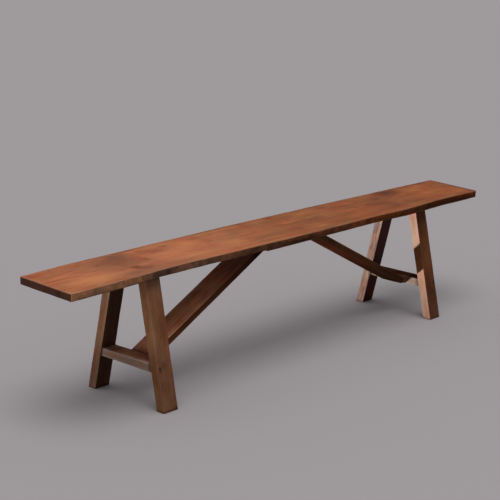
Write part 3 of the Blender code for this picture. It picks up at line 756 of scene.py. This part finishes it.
def make_stretcher(node, seed, shade, side_shades):
    """A rail whose ends slope as its solid's do."""
    low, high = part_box(node)
    middle_x, size, edges = slanted(
        node, low.z + STRETCHER_READING_INSET, high.z - STRETCHER_READING_INSET)
    half = (size[1] / 2, size[0] / 2, (high.z - low.z) / 2)

    def place(points):
        z = low.z + half[2] + points[:, 2]
        front, back = edges(z)
        share = 0.5 + points[:, 0] / (2 * half[0])
        return np.stack((middle_x + points[:, 1], back + share * (front - back), z), -1)

    make_board(node + "_wood", node, half, place, rail_wood, STRETCHER_ARRIS,
               RAIL_LINE_SPACING, seed, shade=shade, side_shades=side_shades, grime_and_shade_ends=STRETCHER_GRIME_AND_SHADE)


# Shades along a stretcher go from its back end at -1 to its front end at 1. They paint light and
# shade along the sides and tops: the right stretcher is darkened as shaded, and its left side has a
# painted patch of light beside the brace's foot, near 0.38.
LEFT_STRETCHER_SIDE_SHADE = (
    (-0.80, 1.75, 2.75, 4.10), (-0.36, 1.37, 2.10, 3.05), (0.10, 1.10, 1.50, 2.25),
    (0.60, 0.86, 1.19, 1.78), (0.90, 0.93, 1.50, 2.15),
)
LEFT_STRETCHER_TOP_SHADE = (
    (-0.85, 1.70, 2.50, 3.50), (-0.62, 1.43, 2.03, 2.85), (-0.40, 2.50, 2.80, 3.20),
    (0.00, 1.90, 2.00, 2.40), (0.36, 1.38, 1.48, 1.82), (0.90, 1.90, 2.20, 3.20),
)
RIGHT_STRETCHER_SIDE_SHADE = (
    (-0.80, 2.40, 3.90, 5.40), (-0.30, 1.65, 2.75, 3.80), (0.38, 3.20, 5.40, 7.40),
    (0.52, 1.50, 2.40, 3.20), (0.90, 1.43, 2.40, 3.60),
)
RIGHT_STRETCHER_TOP_SHADE = (
    (-0.60, 0.88, 0.75, 0.68), (0.10, 1.60, 1.40, 1.25), (0.36, 2.00, 2.00, 1.80),
    (0.60, 0.75, 0.70, 0.68), (0.90, 0.85, 0.85, 0.85),
)
for place_name, seed, shade, side_shade, top_shade in (
    ("left", 51, (1.15, 1.15, 1.15), LEFT_STRETCHER_SIDE_SHADE, LEFT_STRETCHER_TOP_SHADE),
    ("right", 57, (0.40, 0.32, 0.28), RIGHT_STRETCHER_SIDE_SHADE, RIGHT_STRETCHER_TOP_SHADE),
):
    make_stretcher(place_name + "_stretcher", seed, shade, ((1, -1, side_shade), (2, 1, top_shade)))


# Braces
# Two wide thin boards that rise at 27 degrees from the stretchers to the seat, against racking.
# The foot is cut plumb against the stretcher and level below, the head level under the seat and
# plumb against the cleat.

BRACE_FOOT_X, BRACE_FOOT_TOP, BRACE_FOOT_BOTTOM = 0.6882, 0.1410, 0.1222
BRACE_HEAD_X, BRACE_HEAD_REACH = 0.1200, 0.1420
BRACE_HALF_WIDTH, BRACE_THICKNESS = 0.046, 0.024
BRACE_ARRIS = 0.0024

brace_head_top = seat_low.z - JOINT_GAP
brace_fall = (brace_head_top - BRACE_FOOT_TOP) / (BRACE_FOOT_X - BRACE_HEAD_REACH)
brace_tilt = math.atan(brace_fall)
brace_cos, brace_sin = math.cos(brace_tilt), math.sin(brace_tilt)


def brace_ends(below):
    """Where the head's and the foot's cuts meet a line that runs some depth below the top face."""
    head = np.maximum(
        -below / brace_fall, (BRACE_HEAD_X - BRACE_HEAD_REACH + below * brace_sin) / brace_cos)
    foot = np.minimum(
        (BRACE_FOOT_X - BRACE_HEAD_REACH + below * brace_sin) / brace_cos,
        (brace_head_top - BRACE_FOOT_BOTTOM - below * brace_cos) / brace_sin)
    return head, foot


def make_brace(node, side, seed, shade, side_shades, grime_and_shade_ends):
    """A brace on one side of the middle, with its mesh lines turned to its slanted cuts."""
    length = BRACE_FOOT_X - BRACE_HEAD_REACH
    half = (length / brace_cos / 2, BRACE_HALF_WIDTH, BRACE_THICKNESS / 2)
    head_corner = (BRACE_HEAD_REACH - BRACE_HEAD_X) * brace_sin
    foot_corner = (brace_head_top - BRACE_FOOT_BOTTOM) * brace_cos - length * brace_sin
    corners = [half[2] - depth for depth in (head_corner, foot_corner)]

    def place(points):
        below = half[2] - points[:, 2]
        head, foot = brace_ends(below)
        run = head + (points[:, 0] / (2 * half[0]) + 0.5) * (foot - head)
        x = BRACE_HEAD_REACH + run * brace_cos - below * brace_sin
        z = brace_head_top - run * brace_sin - below * brace_cos
        return np.stack((side * x, side * points[:, 1], z), -1)

    make_board(node + "_wood", node, half, place, rail_wood, BRACE_ARRIS, RAIL_LINE_SPACING,
               seed, extra_lines=corners, shade=shade, side_shades=side_shades, grime_and_shade_ends=grime_and_shade_ends)


# Shades along a brace go from its head at -1 to its foot at 1. They paint light and shade: the
# left brace is darker at its head in the seat's shadow, and the right brace's underside is lightened
# as lit from the floor. The left brace's front side is made much darker.
LEFT_BRACE_SHADE = (
    (-1.00, 1.20, 1.30, 1.75), (-0.58, 1.15, 1.22, 1.85), (-0.25, 1.84, 1.68, 1.92),
    (0.05, 2.26, 2.25, 2.75), (0.42, 1.70, 1.68, 1.85), (0.92, 2.78, 2.90, 3.95),
)
RIGHT_BRACE_SHADE = (
    (-1.00, 0.80, 0.80, 0.76), (-0.40, 1.17, 1.07, 0.94), (0.05, 1.00, 0.80, 0.64),
    (0.45, 0.90, 0.92, 0.98), (0.80, 0.80, 0.98, 1.10),
)
# Darker ends: the left brace's head is painted shadow under the seat, the right brace's long dark foot is
# painted shade where the beams miss it, and the short reaches are dirt and shade at the joints.
for place_name, side, seed, shade, side_shades, grime_and_shade_ends in (
    ("left", -1, 61, LEFT_BRACE_SHADE, ((1, 1, (0.39, 0.31, 0.22)),), (0.110, 0.060)),
    ("right", 1, 67, RIGHT_BRACE_SHADE, ((2, -1, (1.42, 1.05, 0.74)),), (0.030, 0.420)),
):
    make_brace(place_name + "_brace", side, seed, shade, side_shades, grime_and_shade_ends)


# Cleat
# A block under the middle of the seat, sawn square from the same dark wood as the rails. It is
# held by four nails, and both braces push against its ends.

CLEAT_ARRIS = 0.0022

cleat_low, cleat_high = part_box("brace_cleat")
cleat_middle = (cleat_low + cleat_high) / 2
make_board(
    "cleat_wood", "brace_cleat", (cleat_high - cleat_low) / 2,
    lambda points: points + np.array(cleat_middle), rail_wood, CLEAT_ARRIS, RAIL_LINE_SPACING, 71,
)


# Nails
# Twelve round nails of dull iron: one through each leg into the stretcher, two through the head
# of each brace and four through the cleat into the seat. Only their heads show.

NAIL_SIZES = {"Head Radius": 0.0034, "Head Thickness": 0.0013, "Shank Radius": 0.0017}
# Shares of the head's radius and thickness for its rim and the crown on it, and the shank's point
RIM_RADIUS, RIM_THICKNESS, CROWN_RADIUS, POINT_RADIUS = 0.92, 0.60, 0.55, 0.25
HEAD_CORNERS, SHANK_CORNERS = 20, 12

iron = bpy.data.materials.new("iron")
iron.use_nodes = True
tree = iron.node_tree
position = add(tree, "ShaderNodeTexCoord").outputs["Object"]
rust = cloud(tree, position, (420.0, 420.0, 420.0), 4.0, 0.65)
pits = cloud(tree, position, (1900.0, 1900.0, 1900.0), 3.0, 0.6)
bump = add(tree, "ShaderNodeBump", {"Strength": 0.6, "Distance": 0.0002, "Height": pits})
fill(tree, tree.nodes["Principled BSDF"], {
    "Base Color": tint(tree, ease(tree, rust, 0.42, 0.62), linear((58, 52, 50)), linear((86, 52, 36))),
    "Roughness": ease(tree, rust, 0.35, 0.65, 0.55, 0.85),
    "Metallic": ease(tree, rust, 0.40, 0.65, 0.85, 0.25), "Normal": bump.outputs[0],
})

nail_nodes = sorted(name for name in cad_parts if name.endswith("_nail"))
nail_places, nail_ways, nail_lengths = [], [], []
for node in nail_nodes:
    points = np.unique(np.round([vertex.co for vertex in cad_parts[node].data.vertices], 6), axis=0)
    middle = points.mean(0)
    tip = points[np.linalg.norm(points - middle, axis=1).argmax()]
    way = (tip - middle) / np.linalg.norm(tip - middle)
    length = ((tip - points) @ way).max() - NAIL_SIZES["Head Thickness"]
    nail_places.append(tip - way * length)
    nail_ways.append(-way)
    nail_lengths.append(length)

driven = bpy.data.node_groups.new("driven_nails", "GeometryNodeTree")
driven.interface.new_socket("Places", in_out="INPUT", socket_type="NodeSocketGeometry")
for label in NAIL_SIZES:
    driven.interface.new_socket(label, in_out="INPUT", socket_type="NodeSocketFloat")
driven.interface.new_socket("Nails", in_out="OUTPUT", socket_type="NodeSocketGeometry")
given, result = driven.nodes.new("NodeGroupInput").outputs, driven.nodes.new("NodeGroupOutput")


def cone(corners, bottom, top, depth, lift):
    """A closed cone of the nails' tree, raised by a lift."""
    inputs = {"Vertices": corners, "Radius Bottom": bottom, "Radius Top": top, "Depth": depth}
    shape = add(driven, "GeometryNodeMeshCone", inputs).outputs[0]
    lift = add(driven, "ShaderNodeCombineXYZ", {2: lift}).outputs[0]
    return add(driven, "GeometryNodeTransform", {"Geometry": shape, "Translation": lift}).outputs[0]


def joined(*shapes):
    item = driven.nodes.new("GeometryNodeJoinGeometry")
    for shape in shapes:
        driven.links.new(shape, item.inputs[0])
    return item.outputs[0]


head_radius, head_thickness, shank_radius = (given[label] for label in NAIL_SIZES)
rim_radius, crown_radius = (times(driven, head_radius, share) for share in (RIM_RADIUS, CROWN_RADIUS))
rim_thickness, crown_thickness = (
    times(driven, head_thickness, share) for share in (RIM_THICKNESS, 1 - RIM_THICKNESS))
point_radius = times(driven, shank_radius, POINT_RADIUS)
rim = cone(HEAD_CORNERS, head_radius, rim_radius, rim_thickness, 0.0)
crown = cone(HEAD_CORNERS, rim_radius, crown_radius, crown_thickness, rim_thickness)
shank = cone(SHANK_CORNERS, point_radius, shank_radius, 1.0, -1.0)
nail_way, nail_length = (
    add(driven, "GeometryNodeInputNamedAttribute", {"Name": label}, data_type=kind).outputs[0]
    for label, kind in (("way", "FLOAT_VECTOR"), ("length", "FLOAT")))
turn = add(driven, "FunctionNodeAlignRotationToVector", {"Vector": nail_way}, axis="Z").outputs[0]
stretch = add(driven, "ShaderNodeCombineXYZ", {0: 1.0, 1: 1.0, 2: nail_length}).outputs[0]
heads, shanks = (
    add(driven, "GeometryNodeInstanceOnPoints", {
        "Points": given["Places"], "Instance": shape, "Rotation": turn, "Scale": scale}).outputs[0]
    for shape, scale in ((joined(rim, crown), (1, 1, 1)), (shank, stretch)))
solid = add(driven, "GeometryNodeRealizeInstances", {"Geometry": joined(heads, shanks)}).outputs[0]
finished = add(driven, "GeometryNodeSetMaterial", {"Geometry": solid, "Material": iron}).outputs[0]
fill(driven, result, {"Nails": finished})

mesh = bpy.data.meshes.new("nail_places")
mesh.from_pydata([list(p) for p in nail_places], [], [])
carry(mesh, "FLOAT_VECTOR", "vector", way=nail_ways)
carry(mesh, "FLOAT", "value", length=nail_lengths)
draft = bpy.data.objects.new("nail_draft", mesh)
scene.collection.objects.link(draft)
modifier = draft.modifiers.new("driven", "NODES")
modifier.node_group = driven
for item in driven.interface.items_tree:
    if item.name in NAIL_SIZES:
        modifier[item.identifier] = NAIL_SIZES[item.name]
ready = draft.evaluated_get(bpy.context.evaluated_depsgraph_get())
nail_mesh = bpy.data.meshes.new_from_object(ready)
bpy.data.objects.remove(draft)
nails = bpy.data.objects.new("nails", nail_mesh)
bench.objects.link(nails)
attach(nails, "root")
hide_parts(*nail_nodes)


# Stage, light and camera
# A plain pale floor under one broad, soft overhead lamp. Three soft panels light only the bench,
# two low beams only the right trestle, and one lamp only the floor, so that the bench's shadow on
# it stays gentle.

FLOOR_COLOUR, BACKDROP_COLOUR, BOUNCE_COLOUR = (155, 150, 152), (158, 152, 154), (88, 86, 86)
FILL_LIGHT = (0.065, 0.065, 0.068, 1.0)
FLOOR_REACH = 60.0


def shown(tree, colour, light):
    """A colour for the camera, reflections and glass, and another for the light that is given."""
    paths = add(tree, "ShaderNodeLightPath").outputs
    seen = maths(tree, "MAXIMUM", paths["Is Camera Ray"], paths["Is Glossy Ray"])
    seen = maths(tree, "MAXIMUM", seen, paths["Is Transmission Ray"])
    return tint(tree, seen, light, linear(colour))


floor_mesh = bpy.data.meshes.new("floor")
corners = [(x * FLOOR_REACH, y * FLOOR_REACH, 0) for x, y in ((-1, -1), (1, -1), (1, 1), (-1, 1))]
floor_mesh.from_pydata(corners, [], [(0, 1, 2, 3)])
floor = bpy.data.objects.new("floor", floor_mesh)
scene.collection.objects.link(floor)
floor_material = bpy.data.materials.new("floor")
floor_material.use_nodes = True
tree = floor_material.node_tree
fill(tree, tree.nodes["Principled BSDF"], {
    "Base Color": shown(tree, FLOOR_COLOUR, linear(BOUNCE_COLOUR)), "Roughness": 0.9,
    "Specular IOR Level": 0.0,
})
floor_mesh.materials.append(floor_material)

world = bpy.data.worlds.new("studio")
scene.world = world
world.use_nodes = True
tree = world.node_tree
fill(tree, tree.nodes["Background"], {"Color": shown(tree, BACKDROP_COLOUR, FILL_LIGHT)})


def add_lamp(name, kind, place, target, energy, colour=(1.0, 1.0, 1.0), lit=None, **settings):
    """A lamp that lights everything, or only the objects of a collection."""
    data = bpy.data.lights.new(name, kind)
    data.energy = energy
    data.color = colour
    for label, value in settings.items():
        setattr(data, label, value)
    lamp = bpy.data.objects.new(name, data)
    scene.collection.objects.link(lamp)
    aim = Vector(target) - Vector(place)
    lamp.matrix_world = Matrix.Translation(place) @ aim.to_track_quat("-Z", "Y").to_matrix().to_4x4()
    if lit:
        lamp.light_linking.receiver_collection = lit


def lit_only(name, *pieces):
    group = bpy.data.collections.new(name)
    for piece in pieces:
        group.objects.link(bpy.data.objects[piece])
    return group


add_lamp("overhead", "SUN", (-0.15, -0.20, 1.0), (0, 0, 0), 1.55, angle=math.radians(45))
add_lamp("floor_wash", "SUN", (0, 0, 1.0), (0, 0, 0), 1.62, lit=lit_only("floor_lit", "floor"),
         angle=math.radians(175))
panel = {"shape": "RECTANGLE", "lit": bench}
add_lamp("above_left_end", "AREA", (-0.75, 0.20, 1.55), (-0.65, 0, 0.45), 6, size=0.8, size_y=0.6, **panel)
add_lamp("low_left", "AREA", (-3.3, 0.4, 0.55), (0, 0, 0.25), 14, size=1.2, size_y=0.7, **panel)
add_lamp("low_front", "AREA", (-2.4, -2.8, 0.9), (-0.7, -0.1, 0.2), 4.5, size=1.0, size_y=0.7, **panel)
beam = {"colour": (0.95, 1.12, 1.40), "spot_blend": 1.0, "shadow_soft_size": 0.04}
add_lamp("front_beam", "SPOT", (-2.30, 1.30, 0.50), (0.69, -0.35, 0.36), 980, spot_size=math.radians(20),
         lit=lit_only("front_beam_lit", "front_right_leg_wood", "right_stretcher_wood"), **beam)
add_lamp("back_beam", "SPOT", (-2.30, 1.08, 0.54), (0.69, 0.13, 0.22), 320, spot_size=math.radians(30),
         lit=lit_only("back_beam_lit", "back_right_leg_wood", "right_stretcher_wood"), **beam)

VIEW_YAW, VIEW_PITCH, VIEW_ROLL = (math.radians(angle) for angle in (48.0206, 14.4710, 1.1756))
VIEW_TARGET = Vector((-0.0055, 0, 0.25))
VIEW_DISTANCE, VIEW_SIDE, VIEW_RISE = 5.0837, -0.1021, 0.1147
FOCAL_PIXELS, FRAME_PIXELS = 1429.1452, 500

cos, sin = math.cos, math.sin
back = Vector((-sin(VIEW_YAW) * cos(VIEW_PITCH), -cos(VIEW_YAW) * cos(VIEW_PITCH), sin(VIEW_PITCH)))
right = Vector((cos(VIEW_YAW), -sin(VIEW_YAW), 0))
up = back.cross(right)
right, up = cos(VIEW_ROLL) * right + sin(VIEW_ROLL) * up, cos(VIEW_ROLL) * up - sin(VIEW_ROLL) * right
camera_data = bpy.data.cameras.new("camera")
camera_data.sensor_width = 36
camera_data.lens = FOCAL_PIXELS / FRAME_PIXELS * camera_data.sensor_width
camera = bpy.data.objects.new("camera", camera_data)
scene.collection.objects.link(camera)
spot = VIEW_TARGET + right * VIEW_SIDE + up * VIEW_RISE + back * VIEW_DISTANCE
camera.matrix_world = Matrix.Translation(spot) @ Matrix((right, up, back)).transposed().to_4x4()
scene.camera = camera
scene.view_settings.view_transform = "Standard"
